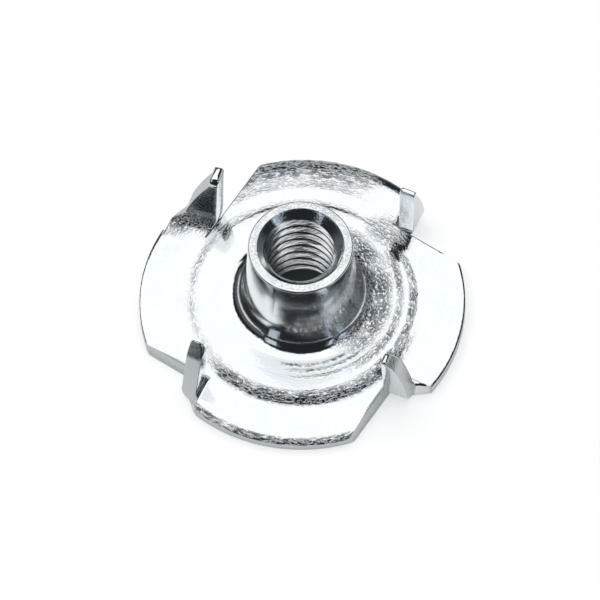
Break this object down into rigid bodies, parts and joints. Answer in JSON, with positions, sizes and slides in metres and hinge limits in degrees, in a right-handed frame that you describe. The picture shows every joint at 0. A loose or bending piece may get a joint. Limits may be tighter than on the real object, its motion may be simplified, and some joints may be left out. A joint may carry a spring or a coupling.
{
  "type": "tee nut",
  "caption": "Pronged tee nut: a round pressed flange with a short threaded barrel and bent-up prongs, driven into wood to give it a machine thread.",
  "frame": {"origin": "centre of the flange's underside, on the axis of the bore", "axes": "+Z along the bore, from the flange towards the lip of the barrel; +X through the middle of one lobe"},
  "size_m": [0.02, 0.02, 0.0075],
  "materials": {
    "zinc_plate": "bright zinc plate over pressed low-carbon steel"
  },
  "bodies": {
    "root": {"tee_nut": "zinc_plate"}
  },
  "joints": []
}
